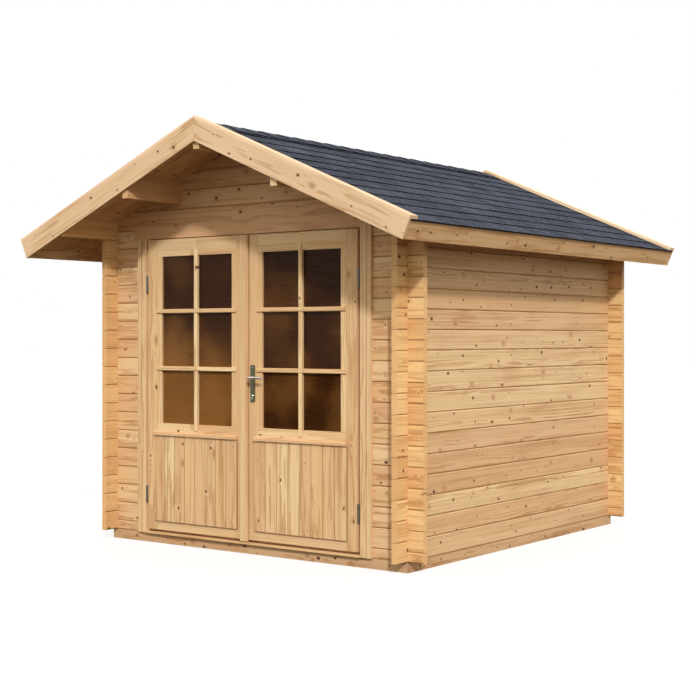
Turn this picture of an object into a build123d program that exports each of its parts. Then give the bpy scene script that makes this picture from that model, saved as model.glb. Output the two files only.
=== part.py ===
"""Log-cabin style garden tool shed with a glazed double door.

Frame: millimetres, +X to the right seen from the door, +Y to the back, +Z up.
The origin is on the ground, in the middle of the roof's plan.
"""
from build123d import *
import math
import os

# Clearances
log_gap = 0.5            # between stacked logs and in the corner notches
fit = 0.3                # between pieces that bear on each other
door_gap = 5.0           # round the moving leaves
head_gap = 8.0           # over the leaves

# Logs and walls
log_pitch = 114.0        # height that one log adds to a wall
log_thickness = 38.0
log_chamfer = 6.0        # bevel on each long edge
tongue_height = 8.0
tongue_width = 10.0      # across its top, the flanks slope down to the bevels
ear = 100.0              # how far a log runs past the wall that it crosses
course_count = 16        # whole logs in a side wall, under its plate
wall_width = 2255.0      # between the outer faces of the side walls
wall_depth = 2460.0      # between the outer faces of the front and back walls

# Base and floor
base_height = 58.0
base_width = 60.0
joist_width = 45.0
joist_count = 5
floor_thickness = 19.0
floor_board_count = 19
floor_wall_gap = 5.0
board_gap = 1.0

# Roof
roof_angle = 23.4
plate_height = 93.0      # of the wall plate, at its outer face
front_overhang = 470.0   # from the front wall to the face of the barge boards
back_overhang = 290.0
eave_reach = 313.0       # from a side wall out to the face of the eave board
roof_board = 18.0
roof_board_count = 33
shingle_thin = 3.0
shingle_butt = 8.0
shingle_courses = 11
shingle_lip = 10.0       # past the eave board
ridge_cap_half = 130.0
ridge_cap_thickness = 3.0
purlin_width = 45.0
purlin_height = 145.0
purlin_offset = 563.0    # of a middle purlin from the ridge line
ridge_purlin_height = 135.0
barge_thickness = 18.0
barge_drop = 84.0        # below the underside of the roof boards
barge_lip = 4.0          # past the eave board
cap_width = 70.0
cap_thickness = 18.0
eave_thickness = 18.0

# Door frame
leaf_reach = 804.0       # from the middle of the door to a leaf's hinge edge
leaf_thickness = 40.0
leaf_bottom = 86.0
lintel_drop = 3.3        # of the log over the door, under the wall plates
lintel_reach = 45.0      # of that log's hanging part past the casings
lintel_bevel = 22.0      # at the ends of the hanging part
casing_width = 75.0
casing_thickness = 17.0
hinge_channel = 17.0     # groove beside each leaf that the hinge barrels stand in
jamb_web = 30.0
stop_width = 20.0
sill_thickness = 12.0
sill_nose = 8.0          # past the face of the casings

# Door leaves
meeting_gap = 7.0        # between the two leaves
meeting_shift = 17.5     # of that gap's middle towards the right leaf
stile_width = 80.0       # at the hinge edge
pane_inset = 82.5        # from the middle of the door to the meeting stile's inner edge
top_rail = 69.0
mid_rail = 80.0
bottom_rail = 103.0
mid_rail_top = 708.0
bead_width = 35.0
bead_set_back = 1.0      # behind the outer face of the leaf
inner_bead_thickness = 10.0
glass_thickness = 4.0
glass_depth = 14.0       # behind the outer face of the leaf
bar_width = 26.0
bar_proud = 8.0
bar_bevel = 4.0
bar_run_on = 2.0         # past the beads, onto the stiles and rails
panel_margin = 66.0      # from the hinge edge
panel_inset = 68.5       # from the middle of the door
panel_thickness = 12.0
panel_low = 143.0
panel_high = 669.0
panel_board_count = 8
panel_bevel = 2.0
drip_height = 23.0
drip_proud = 24.0
drip_bevel = 9.0
strip_width = 58.0       # of the strip on the left leaf's meeting edge
strip_thickness = 14.0
strip_bevel = 5.0
strip_drop = 10.0        # of that strip below the leaf

# Hinges and handle
hinge_radius = 7.0
hinge_length = 100.0
hinge_pin_radius = 4.0
hinge_clear = 0.3
hinge_plate = 2.3
hinge_plate_reach = 34.0
hinge_low = 216.0        # of the lower hinge over the foot of the leaf
hinge_high = 271.0       # of the upper hinge under the top of the leaf
hinge_proud = 2.0        # of the pin's axis in front of the leaf's face
handle_inset = 29.0      # of the handle's axis from the right leaf's meeting edge
plate_width = 30.0
plate_length = 214.0
plate_thickness = 8.0
plate_round = 6.0
plate_above = 75.0       # of the lock plates over the lever
lever_height = 1034.0
lever_length = 100.0     # from the axis to the middle of the rounded tip
lever_stand = 48.0
neck_radius = 8.0
lever_thickness = 12.0
lever_root_radius = 11.0
lever_tip_radius = 8.0
lever_bevel = 2.5
keyhole_drop = 104.0     # of the keyhole under the lever
keyhole_radius = 4.0

# Places worked out from the sizes above
slope = math.tan(math.radians(roof_angle))
sine = math.sin(math.radians(roof_angle))
cosine = math.cos(math.radians(roof_angle))
roof_front = -(front_overhang + wall_depth + back_overhang) / 2
roof_back = -roof_front
front_face = roof_front + front_overhang
back_face = front_face + wall_depth
front_inner = front_face + log_thickness
back_inner = back_face - log_thickness
half_width = wall_width / 2
inner_half = half_width - log_thickness
log_base = base_height + fit
plate_bottom = log_base + course_count * log_pitch
apex = plate_bottom + plate_height + slope * half_width
eave_s = (half_width + eave_reach) / cosine
head_bottom = plate_bottom - lintel_drop
leaf_top = head_bottom - head_gap
leaf_front = front_face - casing_thickness
leaf_back = leaf_front + leaf_thickness
reveal = leaf_reach + door_gap
casing_inner = leaf_reach + hinge_channel
casing_outer = casing_inner + casing_width
stop_front = leaf_back + door_gap
frame_back = front_inner + casing_thickness
sill_top = base_height + fit + sill_thickness
pin_x = leaf_reach + hinge_channel / 2
pin_y = leaf_front - hinge_proud
hinge_heights = (leaf_bottom + hinge_low, leaf_top - hinge_high)
plate_middle = lever_height + plate_above - plate_length / 2
right_meeting = meeting_shift + meeting_gap / 2
handle_x = right_meeting + handle_inset


def roof_point(s, p):
    """Section point at s down the right slope and p above the boards' underside."""
    return (s * cosine + p * sine, apex - s * sine + p * cosine)


def ridge_point(x, p):
    """Section point at x, on the line that lies p above the boards' underside."""
    return roof_point((x - p * sine) / cosine, p)


def section_plane(y):
    """Plane across the ridge at y, its axes along +X and +Z."""
    return Plane(origin=(0, y, 0), x_dir=(1, 0, 0), z_dir=(0, -1, 0))


def across(points, y0, y1):
    """Prism of a section in XZ, from y0 back to y1."""
    with BuildPart() as prism:
        with BuildSketch(section_plane(y1)):
            with BuildLine():
                Polyline(*points, close=True)
            make_face()
        extrude(amount=y1 - y0)
    return prism.part


def block(x0, x1, y0, y1, z0, z1):
    """Sawn block between two corners."""
    with BuildPart() as piece:
        with Locations(((x0 + x1) / 2, (y0 + y1) / 2, (z0 + z1) / 2)):
            Box(x1 - x0, y1 - y0, z1 - z0)
    return piece.part


def log_outline(bottom, top, grooved=True, tongued=True):
    """Section of a log: across its thickness and up, centred on its wall."""
    half = log_thickness / 2
    shoulder = half - log_chamfer
    low = bottom + log_gap / 2
    high = top - log_gap / 2
    outline = [(-half, low + log_chamfer), (-shoulder, low)]
    if grooved:
        outline += [(-tongue_width / 2, low + tongue_height), (tongue_width / 2, low + tongue_height)]
    outline += [(shoulder, low), (half, low + log_chamfer)]
    outline += [(half, high - log_chamfer), (shoulder, high)]
    if tongued:
        outline += [(tongue_width / 2, high + tongue_height), (-tongue_width / 2, high + tongue_height)]
    outline += [(-shoulder, high), (-half, high - log_chamfer)]
    return outline


def wall_log(plane, outline, length, crossings, neck_low, neck_high):
    """Log along the plane's normal, notched above and below where it crosses a wall."""
    with BuildPart() as log:
        with BuildSketch(plane):
            with BuildLine():
                Polyline(*outline, close=True)
            make_face()
        extrude(amount=length)
        notch = log_thickness + 2 * log_gap
        for at in crossings:
            across_log = Plane(plane.origin + plane.z_dir * at, plane.x_dir, plane.z_dir)
            for z0, z1 in ((neck_low - log_pitch, neck_low), (neck_high, neck_high + log_pitch)):
                with BuildSketch(across_log):
                    with Locations((0, (z0 + z1) / 2)):
                        Rectangle(2 * log_thickness, z1 - z0)
                extrude(amount=notch / 2, both=True, mode=Mode.SUBTRACT)
    return log.part


def side_log(index):
    """Whole log of the right wall."""
    start = front_face - ear
    plane = Plane(origin=(half_width - log_thickness / 2, start, 0), x_dir=(-1, 0, 0), z_dir=(0, 1, 0))
    bottom = log_base + index * log_pitch
    crossings = (ear + log_thickness / 2, ear + wall_depth - log_thickness / 2)
    return wall_log(plane, log_outline(bottom, bottom + log_pitch, grooved=index > 0),
                    wall_depth + 2 * ear, crossings,
                    bottom + log_pitch / 4 + log_gap / 2, bottom + 3 * log_pitch / 4 - log_gap / 2)


def cross_log(y_middle, index, x0, x1):
    """Log of the front or back wall, half a course lower than the side logs."""
    bottom = log_base + max(index - 0.5, 0) * log_pitch
    top = log_base + (index + 0.5) * log_pitch
    middle = log_base + index * log_pitch
    plane = Plane(origin=(x0, y_middle, 0), x_dir=(0, 1, 0), z_dir=(1, 0, 0))
    corner = half_width - log_thickness / 2
    crossings = [x - x0 for x in (-corner, corner) if x0 < x < x1]
    return wall_log(plane, log_outline(bottom, top, grooved=index > 0), x1 - x0, crossings,
                    middle - log_pitch / 4 + log_gap / 2, middle + log_pitch / 4 - log_gap / 2)


def stacked(bottom_log, second_log):
    """Wall of whole logs: the bottom one, and the second one repeated up the courses."""
    with BuildPart() as wall:
        add(bottom_log)
        with Locations(*[(0, 0, course * log_pitch) for course in range(course_count - 1)]):
            add(second_log)
    return wall.part


def roof_cutter():
    """Everything over the underside of the roof boards, less the clearance."""
    reach = 2 * half_width
    points = [(0, apex - fit / cosine), (reach, apex - reach * slope - fit / cosine),
              (reach, apex + reach), (-reach, apex + reach), (-reach, apex - reach * slope - fit / cosine)]
    return across(points, 2 * roof_front, 2 * roof_back)


def pocket_cutter():
    """Pockets that the three purlins pass through in each gable."""
    half = purlin_width / 2 + fit
    cuts = []
    for x, low in ((0, ridge_purlin_bottom), (purlin_offset, purlin_bottom), (-purlin_offset, purlin_bottom)):
        cuts.append(block(x - half, x + half, 2 * roof_front, 2 * roof_back, low - fit, 2 * apex))
    return cuts


def gable_logs(y_middle, first, first_log):
    """Logs from the one given up, cut to the roof and round the purlins."""
    last = int((apex - log_base) / log_pitch + 0.5)
    with BuildPart() as gable:
        add(first_log)
        for index in range(first + 1, last + 1):
            add(cross_log(y_middle, index, -corner_end, corner_end))
        add(roof_cutter(), mode=Mode.SUBTRACT)
        for pocket in pocket_cutter():
            add(pocket, mode=Mode.SUBTRACT)
    return gable.part


def lintel_block(clearance):
    """Hanging part of the log over the door, its lower corners bevelled."""
    reach = casing_outer + lintel_reach + clearance
    low = head_bottom - clearance
    high = log_base + (course_count + 0.5) * log_pitch + log_pitch / 4
    points = [(-reach, high), (-reach, low + lintel_bevel), (lintel_bevel - reach, low),
              (reach - lintel_bevel, low), (reach, low + lintel_bevel), (reach, high)]
    return across(points, front_face - clearance, front_inner + clearance)


purlin_bottom = apex - slope * (purlin_offset - purlin_width / 2) - purlin_height
ridge_purlin_bottom = apex - ridge_purlin_height
corner_end = half_width + ear
front_middle = front_face + log_thickness / 2
back_middle = back_face - log_thickness / 2
purlin_front = roof_front + barge_thickness + fit
purlin_back = roof_back - barge_thickness - fit
os.makedirs("parts", exist_ok=True)


def save(part, name):
    """Write one node under its name."""
    part.label = name
    export_step(part, f"parts/{name}.step")


# Base frame on the ground, flush with the walls
with BuildPart() as base_beams:
    add(block(-half_width, half_width, front_face, front_face + base_width, 0, base_height))
    add(block(-half_width, half_width, back_face - base_width, back_face, 0, base_height))
    for side in (-1, 1):
        with Locations((side * (half_width - base_width / 2), (front_face + back_face) / 2, base_height / 2)):
            Box(base_width, wall_depth - 2 * base_width - 2 * fit, base_height)
save(base_beams.part, "base_beams")

# Floor joists from side to side between the base beams
joist_span = wall_width - 2 * base_width - 2 * fit
joist_step = (wall_depth - 2 * base_width) / (joist_count + 1)
with BuildPart() as floor_joists:
    with GridLocations(0, joist_step, 1, joist_count):
        with Locations((0, (front_face + back_face) / 2, base_height / 2)):
            Box(joist_span, joist_width, base_height)
save(floor_joists.part, "floor_joists")

# Floor boards from front to back
floor_span = 2 * (inner_half - floor_wall_gap)
floor_board_step = floor_span / floor_board_count
floor_run = wall_depth - 2 * log_thickness - 2 * floor_wall_gap
with BuildPart() as floor_boards:
    with GridLocations(floor_board_step, 0, floor_board_count, 1):
        with Locations((0, (front_face + back_face) / 2, base_height + fit + floor_thickness / 2)):
            Box(floor_board_step - board_gap, floor_run, floor_thickness)
save(floor_boards.part, "floor_boards")

# Side walls of whole logs
right_wall = stacked(side_log(0), side_log(1))
save(right_wall, "right_wall")
save(mirror(right_wall, about=Plane.YZ), "left_wall")

# Wall plates: the top side logs, bevelled to the roof and run out to the barge boards
plate_plane = Plane(origin=(half_width - log_thickness / 2, purlin_front, 0),
                    x_dir=(-1, 0, 0), z_dir=(0, 1, 0))
plate_outline = log_outline(plate_bottom, plate_bottom + 2 * log_pitch, tongued=False)
with BuildPart() as right_plate:
    add(wall_log(plate_plane, plate_outline, purlin_back - purlin_front,
                 (front_middle - purlin_front, back_middle - purlin_front),
                 plate_bottom + log_pitch / 4 + log_gap / 2,
                 plate_bottom + 3 * log_pitch / 4 - log_gap / 2))
    add(roof_cutter(), mode=Mode.SUBTRACT)
save(right_plate.part, "right_plate")
save(mirror(right_plate.part, about=Plane.YZ), "left_plate")

# Back wall and its gable
save(stacked(cross_log(back_middle, 0, -corner_end, corner_end),
             cross_log(back_middle, 1, -corner_end, corner_end)), "back_wall")
save(gable_logs(back_middle, course_count, cross_log(back_middle, course_count, -corner_end, corner_end)),
     "back_gable")

# Front wall beside the door, its logs held in the jambs' grooves and cut round the lintel
jamb_end = reveal + jamb_web + fit
with BuildPart() as front_wall_right:
    add(stacked(cross_log(front_middle, 0, jamb_end, corner_end),
                cross_log(front_middle, 1, jamb_end, corner_end)))
    add(cross_log(front_middle, course_count, jamb_end, corner_end))
    add(roof_cutter(), mode=Mode.SUBTRACT)
    add(lintel_block(fit), mode=Mode.SUBTRACT)
save(front_wall_right.part, "front_wall_right")
save(mirror(front_wall_right.part, about=Plane.YZ), "front_wall_left")

# Front gable: the deep log over the door, and those above it
with BuildPart() as lintel:
    add(cross_log(front_middle, course_count + 1, -corner_end, corner_end))
    add(lintel_block(0))
save(gable_logs(front_middle, course_count + 1, lintel.part), "front_gable")

# Purlins under the roof boards, from barge board to barge board
purlin_half = purlin_width / 2
ridge_outline = [(-purlin_half, ridge_purlin_bottom), (purlin_half, ridge_purlin_bottom),
                 (purlin_half, apex - slope * purlin_half - fit), (0, apex - fit),
                 (-purlin_half, apex - slope * purlin_half - fit)]
with BuildPart() as ridge_purlin:
    add(across(ridge_outline, purlin_front, purlin_back))
save(ridge_purlin.part, "ridge_purlin")
inner_x = purlin_offset - purlin_half
outer_x = purlin_offset + purlin_half
purlin_outline = [(inner_x, purlin_bottom), (outer_x, purlin_bottom),
                  (outer_x, apex - slope * outer_x - fit), (inner_x, apex - slope * inner_x - fit)]
with BuildPart() as right_purlin:
    add(across(purlin_outline, purlin_front, purlin_back))
save(right_purlin.part, "right_purlin")
with BuildPart() as left_purlin:
    add(mirror(right_purlin.part, about=Plane.YZ, mode=Mode.PRIVATE))
save(left_purlin.part, "left_purlin")

# Roof boards down each slope, from barge board to barge board
board_span = purlin_back - purlin_front
board_step = board_span / roof_board_count
board_end = eave_s - eave_thickness - fit
board_outline = [ridge_point(fit, 0), ridge_point(fit, roof_board), roof_point(board_end, roof_board),
                 roof_point(board_end, 0)]
with BuildPart() as right_roof_boards:
    for index in range(roof_board_count):
        start = purlin_front + index * board_step
        add(across(board_outline, start + board_gap / 2, start + board_step - board_gap / 2))
save(right_roof_boards.part, "right_roof_boards")
with BuildPart() as left_roof_boards:
    add(mirror(right_roof_boards.part, about=Plane.YZ, mode=Mode.PRIVATE))
save(left_roof_boards.part, "left_roof_boards")

# Shingle courses, each thin at its top and thick at its butt
shingle_base = roof_board + fit
shingle_end = eave_s + shingle_lip
course_step = shingle_end / shingle_courses
shingle_outline = [ridge_point(fit, shingle_base), ridge_point(fit, shingle_base + shingle_thin)]
for course in range(1, shingle_courses + 1):
    shingle_outline.append(roof_point(course * course_step, shingle_base + shingle_butt))
    if course < shingle_courses:
        shingle_outline.append(roof_point(course * course_step, shingle_base + shingle_thin))
shingle_outline.append(roof_point(shingle_end, shingle_base))
with BuildPart() as right_shingles:
    add(across(shingle_outline, purlin_front, purlin_back))
save(right_shingles.part, "right_shingles")
with BuildPart() as left_shingles:
    add(mirror(right_shingles.part, about=Plane.YZ, mode=Mode.PRIVATE))
save(left_shingles.part, "left_shingles")

# Bent shingle strip over the ridge
cap_low = shingle_base + shingle_butt + fit
cap_high = cap_low + ridge_cap_thickness
right_cap = [ridge_point(0, cap_high), roof_point(ridge_cap_half, cap_high),
             roof_point(ridge_cap_half, cap_low), ridge_point(0, cap_low)]
left_cap = [(-x, z) for x, z in reversed(right_cap)]
with BuildPart() as ridge_cap:
    add(across(right_cap + left_cap[1:3], roof_front + cap_width + fit, roof_back - cap_width - fit))
save(ridge_cap.part, "ridge_cap")

# Barge boards, mitred at the apex, and the cap strips over them
barge_top = shingle_base + shingle_butt
barge_end = eave_s + barge_lip
barge_outline = [ridge_point(fit, -barge_drop), ridge_point(fit, barge_top),
                 roof_point(barge_end, barge_top), roof_point(barge_end, -barge_drop)]
strip_outline = [ridge_point(fit, barge_top + fit), ridge_point(fit, barge_top + fit + cap_thickness),
                 roof_point(barge_end, barge_top + fit + cap_thickness),
                 roof_point(barge_end, barge_top + fit)]
for where, y0, direction in (("front", roof_front, 1), ("back", roof_back, -1)):
    inner = y0 + direction * barge_thickness
    strip_inner = y0 + direction * cap_width
    right_barge = across(barge_outline, min(y0, inner), max(y0, inner))
    right_strip = across(strip_outline, min(y0, strip_inner), max(y0, strip_inner))
    save(right_barge, f"{where}_right_barge")
    save(mirror(right_barge, about=Plane.YZ), f"{where}_left_barge")
    with BuildPart() as cap_strips:
        add(right_strip)
        add(mirror(right_strip, about=Plane.YZ, mode=Mode.PRIVATE))
    save(cap_strips.part, f"{where}_cap_strips")

# Eave boards, square to the slope at the ends of the roof boards
eave_outline = [roof_point(eave_s - eave_thickness, -barge_drop), roof_point(eave_s, -barge_drop),
                roof_point(eave_s, roof_board), roof_point(eave_s - eave_thickness, roof_board)]
with BuildPart() as right_eave_board:
    add(across(eave_outline, purlin_front, purlin_back))
save(right_eave_board.part, "right_eave_board")
with BuildPart() as left_eave_board:
    add(mirror(right_eave_board.part, about=Plane.YZ, mode=Mode.PRIVATE))
save(left_eave_board.part, "left_eave_board")

# Jambs: a casing outside and inside, a web between them and a stop for the leaf
web_end = reveal + jamb_web
stop_inner = reveal - stop_width
casing_top = head_bottom + casing_width
floor_top = base_height + fit + floor_thickness
for side, name in ((-1, "left_jamb"), (1, "right_jamb")):
    outer_top = casing_top if side > 0 else head_bottom - fit
    with BuildPart() as jamb:
        add(block(reveal, web_end, front_face - fit, stop_front, sill_top + fit, head_bottom - fit))
        add(block(stop_inner, web_end, stop_front, front_inner + fit, sill_top + fit, head_bottom - fit))
        add(block(casing_inner, casing_outer, leaf_front, front_face - fit, log_base, outer_top))
        add(block(stop_inner, casing_outer, front_inner + fit, frame_back, floor_top + fit,
                  head_bottom - fit))
    save(jamb.part if side > 0 else mirror(jamb.part, about=Plane.YZ), name)

# Head of the door frame inside: a stop for the leaves and a casing over the lintel's foot
with BuildPart() as door_head:
    add(block(fit - stop_inner, stop_inner - fit, stop_front, frame_back, head_bottom - stop_width,
              head_bottom - fit))
    add(block(-casing_outer, casing_outer, front_inner + fit, frame_back, head_bottom - fit, casing_top))
save(door_head.part, "door_head")

# Sill with a nose outside and an upstand behind the leaves
sill_back = front_inner + floor_wall_gap - fit
with BuildPart() as door_sill:
    add(block(fit - casing_inner, casing_inner - fit, leaf_front - sill_nose, front_face,
              base_height + fit, sill_top))
    add(block(-web_end, web_end, front_face, sill_back, base_height + fit, sill_top))
    add(block(fit - stop_inner, stop_inner - fit, stop_front, sill_back, sill_top,
              leaf_bottom + stop_width / 2))
save(door_sill.part, "door_sill")

# Hinges: the frame's half carries the pin, the leaf's half lifts off it
knuckle = hinge_length / 2 - hinge_clear
with BuildPart() as frame_hinges:
    for side in (-1, 1):
        for z in hinge_heights:
            with Locations((side * pin_x, pin_y, z - hinge_clear / 2 - knuckle / 2)):
                Cylinder(hinge_radius, knuckle)
            with Locations((side * pin_x, pin_y, z)):
                Cylinder(hinge_pin_radius, hinge_length * 0.7)
            with Locations((side * (reveal - fit - hinge_plate / 2), pin_y + hinge_plate_reach / 2,
                            z - hinge_clear / 2 - knuckle / 2)):
                Box(hinge_plate, hinge_plate_reach, knuckle)
save(frame_hinges.part, "frame_hinges")
with BuildPart() as right_leaf_hinges:
    for z in hinge_heights:
        with Locations((pin_x, pin_y, z + hinge_clear / 2 + knuckle / 2)):
            Cylinder(hinge_radius, knuckle)
        with Locations((leaf_reach + hinge_plate / 2 + fit, pin_y + hinge_plate_reach / 2,
                        z + hinge_clear / 2 + knuckle / 2)):
            Box(hinge_plate, hinge_plate_reach, knuckle)
        with Locations((pin_x, pin_y, z)):
            Cylinder(hinge_pin_radius + hinge_clear, hinge_length * 0.7 + 2 * hinge_clear,
                     mode=Mode.SUBTRACT)
save(right_leaf_hinges.part, "right_leaf_hinges")
save(mirror(right_leaf_hinges.part, about=Plane.YZ), "left_leaf_hinges")

# Leaf frames: two stiles with three rails between them
opening_out = leaf_reach - stile_width
opening_in = pane_inset
pane_width = opening_out - opening_in
glass_low = mid_rail_top
glass_high = leaf_top - top_rail


def leaf_frame(meeting_edge):
    """Frame of the right leaf with its free edge at x = meeting_edge."""
    with BuildPart() as frame:
        for x0, x1 in ((meeting_edge, opening_in), (opening_out, leaf_reach)):
            add(block(x0, x1, leaf_front, leaf_back, leaf_bottom, leaf_top))
        for z0, z1 in ((leaf_bottom, leaf_bottom + bottom_rail), (mid_rail_top - mid_rail, mid_rail_top),
                       (glass_high, leaf_top)):
            add(block(opening_in + fit, opening_out - fit, leaf_front, leaf_back, z0, z1))
    return frame.part


# Glass in each leaf, between the beads
glass_front = leaf_front + glass_depth
glass_back = glass_front + glass_thickness
pane_x = (opening_in + opening_out) / 2
pane_z = (glass_low + glass_high) / 2
with BuildPart() as right_glass:
    with Locations((pane_x, (glass_front + glass_back) / 2, pane_z)):
        Box(pane_width - 2 * fit, glass_thickness, glass_high - glass_low - 2 * fit)


def bar(start, end, glass_start, glass_end):
    """Glazing bar along X, bevelled in front and let down to the glass over part of its length."""
    half = bar_width / 2
    front = leaf_front - bar_proud
    outline = [(-half, -front - bar_bevel), (bar_bevel - half, -front), (half - bar_bevel, -front),
               (half, -front - bar_bevel)]
    with BuildPart() as piece:
        for x0, x1, back in ((start, end, leaf_front - fit), (glass_start, glass_end, glass_front - fit)):
            with BuildSketch(Plane(origin=(x0, 0, 0), x_dir=(0, 0, 1), z_dir=(1, 0, 0))):
                with BuildLine():
                    Polyline(*outline, (half, -back), (-half, -back), close=True)
                make_face()
            extrude(amount=x1 - x0)
    return piece.part


# Glazing beads round the panes, outside and inside, and the bars that run on over the frame
bead_fit = bead_width + fit
light_height = glass_high - glass_low - 2 * bead_width
row_step = (light_height + bar_width) / 3
level_half = pane_width / 2 + bar_run_on
level_over_glass = pane_width / 2 - bead_fit - fit
upright_half = (row_step - bar_width) / 2 - fit
upright_foot = -bead_width - 2 * upright_half - fit
with BuildPart() as right_glazing_bars:
    for y0, y1 in ((leaf_front + bead_set_back, glass_front - fit),
                   (glass_back + fit, glass_back + fit + inner_bead_thickness)):
        for x0 in (opening_in + fit, opening_out - bead_fit):
            add(block(x0, x0 + bead_width, y0, y1, glass_low + fit, glass_high - fit))
        for z0 in (glass_low + fit, glass_high - bead_fit):
            add(block(opening_in + bead_fit + fit, opening_out - bead_fit - fit, y0, y1, z0, z0 + bead_width))
    for level in (-0.5, 0.5):
        with Locations((pane_x, 0, pane_z + level * row_step)):
            add(bar(-level_half, level_half, -level_over_glass, level_over_glass))
    with Locations(Location((pane_x, 0, pane_z), (0, -90, 0))):
        add(bar(-upright_half, upright_half, -upright_half, upright_half))
    for turn, z in ((-90, glass_high), (90, glass_low)):
        with Locations(Location((pane_x, 0, z), (0, turn, 0))):
            add(bar(upright_foot, bar_run_on, upright_foot, -bead_fit - fit))

# Upright boards nailed on the frame under the glass, with a drip moulding over them
panel_out = leaf_reach - panel_margin
panel_board = (panel_out - panel_inset) / panel_board_count
panel_front = leaf_front - panel_thickness
with BuildPart() as right_panel:
    for index in range(panel_board_count):
        x0 = panel_inset + index * panel_board + fit / 2
        x1 = x0 + panel_board - fit
        with BuildSketch(Plane.XY.offset(panel_low)):
            with BuildLine():
                Polyline((x0, leaf_front - fit), (x0, panel_front + panel_bevel),
                         (x0 + panel_bevel, panel_front), (x1 - panel_bevel, panel_front),
                         (x1, panel_front + panel_bevel), (x1, leaf_front - fit), close=True)
            make_face()
        extrude(amount=panel_high - fit - panel_low)
with BuildPart() as right_drip:
    with BuildSketch(Plane(origin=(panel_inset, 0, panel_high), x_dir=(0, 1, 0), z_dir=(1, 0, 0))):
        with BuildLine():
            Polyline((leaf_front - drip_proud, 0), (leaf_front - drip_proud, drip_height - drip_bevel),
                     (leaf_front - drip_proud + drip_bevel, drip_height), (leaf_front - fit, drip_height),
                     (leaf_front - fit, 0), close=True)
        make_face()
    extrude(amount=panel_out - panel_inset)
for piece, name in ((right_glass, "glass"), (right_glazing_bars, "glazing_bars"), (right_panel, "panel"),
                    (right_drip, "drip")):
    save(piece.part, f"right_{name}")
    save(mirror(piece.part, about=Plane.YZ), f"left_{name}")

# Left leaf, with the strip that closes the gap between the leaves on its free edge
left_meeting = meeting_shift - meeting_gap / 2
save(mirror(leaf_frame(-left_meeting), about=Plane.YZ), "left_leaf_frame")
strip_front = leaf_front - strip_thickness
with BuildPart() as meeting_strip:
    with BuildSketch(Plane.XY.offset(leaf_bottom - strip_drop)):
        with BuildLine():
            Polyline((left_meeting, leaf_front - fit), (left_meeting, strip_front + strip_bevel),
                     (left_meeting - strip_bevel, strip_front),
                     (left_meeting - strip_width + strip_bevel, strip_front),
                     (left_meeting - strip_width, strip_front + strip_bevel),
                     (left_meeting - strip_width, leaf_front - fit), close=True)
        make_face()
    extrude(amount=leaf_top - leaf_bottom + strip_drop)
save(meeting_strip.part, "meeting_strip")

# Right leaf, bored for the handle and the key, with long lock plates on both faces
leaf_middle = (leaf_front + leaf_back) / 2
with BuildPart() as lock_bores:
    for z, radius in ((lever_height, neck_radius + hinge_clear),
                      (lever_height - keyhole_drop, keyhole_radius)):
        with Locations(Location((handle_x, leaf_middle, z), (90, 0, 0))):
            Cylinder(radius, 4 * leaf_thickness)
with BuildPart() as right_leaf_frame:
    add(leaf_frame(right_meeting))
    add(lock_bores.part, mode=Mode.SUBTRACT)
save(right_leaf_frame.part, "right_leaf_frame")
with BuildPart() as lock_plates:
    for side in (-1, 1):
        y = leaf_middle + side * (leaf_thickness / 2 + fit + plate_thickness / 2)
        with Locations((handle_x, y, plate_middle)):
            Box(plate_width, plate_thickness, plate_length)
    fillet(lock_plates.edges().filter_by(Axis.Y), plate_round)
    add(lock_bores.part, mode=Mode.SUBTRACT)
save(lock_plates.part, "lock_plates")

# Lever handle: a grip outside and one inside, joined by the neck through the stile
with BuildPart() as lever_handle:
    for side in (-1, 1):
        y_lever = leaf_middle + side * (leaf_thickness / 2 + lever_stand)
        with BuildSketch(Plane(origin=(handle_x, y_lever, lever_height), x_dir=(1, 0, 0),
                               z_dir=(0, side, 0))):
            Circle(lever_root_radius)
            with Locations((lever_length, 0)):
                Circle(lever_tip_radius)
            make_hull()
        extrude(amount=lever_thickness / 2, both=True)
    chamfer(lever_handle.faces().filter_by(Axis.Y).edges(), lever_bevel)
    with Locations(Location((handle_x, leaf_middle, lever_height), (90, 0, 0))):
        Cylinder(neck_radius, leaf_thickness + 2 * lever_stand)
save(lever_handle.part, "lever_handle")
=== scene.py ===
# %% [markdown]
# Wooden tool shed
#
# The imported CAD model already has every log, board and hinge at its real size. This lesson gives it its
# looks: untreated spruce with knots and end grain, bitumen shingles, glass and nickel, and the small
# pieces that CAD leaves out, such as shingle tabs, nails and screws. Everything is in metres, in the
# model's own frame: +X to the right seen from the door, +Y to the back, +Z up.

# %% Load the model
import math

import bmesh
import bpy
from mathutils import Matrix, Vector


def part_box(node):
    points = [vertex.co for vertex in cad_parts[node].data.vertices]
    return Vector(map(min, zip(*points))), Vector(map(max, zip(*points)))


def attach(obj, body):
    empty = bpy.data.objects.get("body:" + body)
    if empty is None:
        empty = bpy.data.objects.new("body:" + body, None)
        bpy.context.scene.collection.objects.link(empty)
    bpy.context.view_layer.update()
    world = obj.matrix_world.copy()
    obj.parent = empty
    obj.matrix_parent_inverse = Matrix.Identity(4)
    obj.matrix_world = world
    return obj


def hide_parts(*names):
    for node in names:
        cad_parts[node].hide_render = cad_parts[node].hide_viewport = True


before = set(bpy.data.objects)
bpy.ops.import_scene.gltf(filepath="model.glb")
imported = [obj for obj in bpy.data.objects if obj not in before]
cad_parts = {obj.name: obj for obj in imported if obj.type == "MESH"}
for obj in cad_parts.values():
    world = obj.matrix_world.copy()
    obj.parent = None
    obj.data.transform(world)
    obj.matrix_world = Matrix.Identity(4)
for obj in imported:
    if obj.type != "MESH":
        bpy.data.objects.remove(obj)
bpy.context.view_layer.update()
scene = bpy.context.scene

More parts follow.
